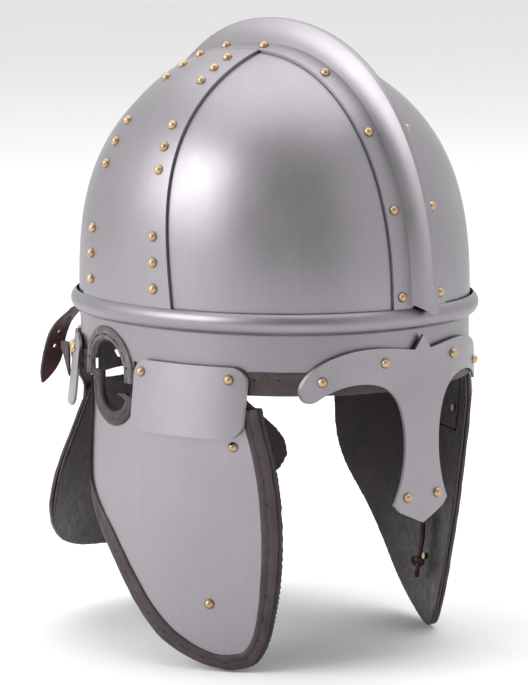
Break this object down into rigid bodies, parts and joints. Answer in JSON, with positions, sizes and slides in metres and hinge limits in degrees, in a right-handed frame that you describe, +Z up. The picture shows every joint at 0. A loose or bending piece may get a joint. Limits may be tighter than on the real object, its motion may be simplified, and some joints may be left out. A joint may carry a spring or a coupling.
{
  "type": "knight helmet",
  "caption": "Banded steel ridge helmet with brass rivets, nasal plate, hinged leather-edged cheek guards, strapped neck guard and leather lining.",
  "frame": {"origin": "centre of the head oval, in the plane of the seam between the skull and the brow band", "axes": "+Z up, the wearer faces -Y, the wearer's right is -X"},
  "size_m": [0.2048, 0.2532, 0.3331],
  "materials": {
    "steel": "satin brushed",
    "brass": "satin",
    "lining_leather": "matt dark brown",
    "edging_leather": "worn brown, stitched",
    "strap_leather": "reddish brown"
  },
  "bodies": {
    "helmet": {"brow_band": "steel", "brow_edging": "edging_leather", "buckle_tab_left": "strap_leather", "buckle_tab_right": "strap_leather", "cheek_hinge_strap_left": "lining_leather", "cheek_hinge_strap_right": "lining_leather", "closing_strap": "lining_leather", "comb_band": "steel", "comb_rivets": "brass", "ear_binding_left": "edging_leather", "ear_binding_right": "edging_leather", "head_band": "lining_leather", "hinge_cover_plate_left": "steel", "hinge_cover_plate_right": "steel", "hinge_cover_rivets_left": "brass", "hinge_cover_rivets_right": "brass", "liner_lace": "lining_leather", "liner_tongues": "lining_leather", "nasal_plate": "steel", "nasal_rivets": "brass", "neck_buckle_frame_left": "brass", "neck_buckle_frame_right": "brass", "neck_strap_left": "strap_leather", "neck_strap_right": "strap_leather", "rear_cover_plate_left": "steel", "rear_cover_plate_right": "steel", "rear_cover_rivets_left": "brass", "rear_cover_rivets_right": "brass", "side_band_left": "steel", "side_band_right": "steel", "side_band_rivets_left": "brass", "side_band_rivets_right": "brass", "skull_plate_front_left": "steel", "skull_plate_front_right": "steel", "skull_plate_rear_left": "steel", "skull_plate_rear_right": "steel", "strap_keeper_left": "lining_leather", "strap_keeper_right": "lining_leather"},
    "cheek_guard_right": {"cheek_edging_right": "edging_leather", "cheek_lining_right": "lining_leather", "cheek_plate_right": "steel", "cheek_rivets_right": "brass", "chin_tie_right": "lining_leather"},
    "cheek_guard_left": {"cheek_edging_left": "edging_leather", "cheek_lining_left": "lining_leather", "cheek_plate_left": "steel", "cheek_rivets_left": "brass", "chin_tie_left": "lining_leather"},
    "neck_guard": {"neck_edging": "edging_leather", "neck_lining": "lining_leather", "neck_plate": "steel", "neck_rivets": "brass"},
    "buckle_prong_right": {"neck_buckle_prong_right": "brass"},
    "buckle_prong_left": {"neck_buckle_prong_left": "brass"}
  },
  "joints": [
    {"name": "cheek_right_swing", "type": "hinge", "parent": "helmet", "child": "cheek_guard_right", "pos_m": [-0.0898, -0.032, -0.046], "axis": [-0.2316, 0.9728, 0], "range_deg": [-20, 6], "deforming": ["cheek_hinge_strap_right"]},
    {"name": "cheek_left_swing", "type": "hinge", "parent": "helmet", "child": "cheek_guard_left", "pos_m": [0.0898, -0.032, -0.046], "axis": [0.2316, 0.9728, 0], "range_deg": [-6, 20], "deforming": ["cheek_hinge_strap_left"]},
    {"name": "neck_guard_swing", "type": "hinge", "parent": "helmet", "child": "neck_guard", "pos_m": [0, 0.1, -0.052], "axis": [1, 0, 0], "range_deg": [-12, 22], "deforming": ["neck_strap_right", "neck_strap_left"]},
    {"name": "prong_right_swing", "type": "hinge", "parent": "helmet", "child": "buckle_prong_right", "pos_m": [-0.04653, 0.10255, -0.0389], "axis": [-0.8852, -0.4651, 0], "range_deg": [0, 20]},
    {"name": "prong_left_swing", "type": "hinge", "parent": "helmet", "child": "buckle_prong_left", "pos_m": [0.04653, 0.10255, -0.0389], "axis": [-0.8852, 0.4651, 0], "range_deg": [0, 20]}
  ]
}
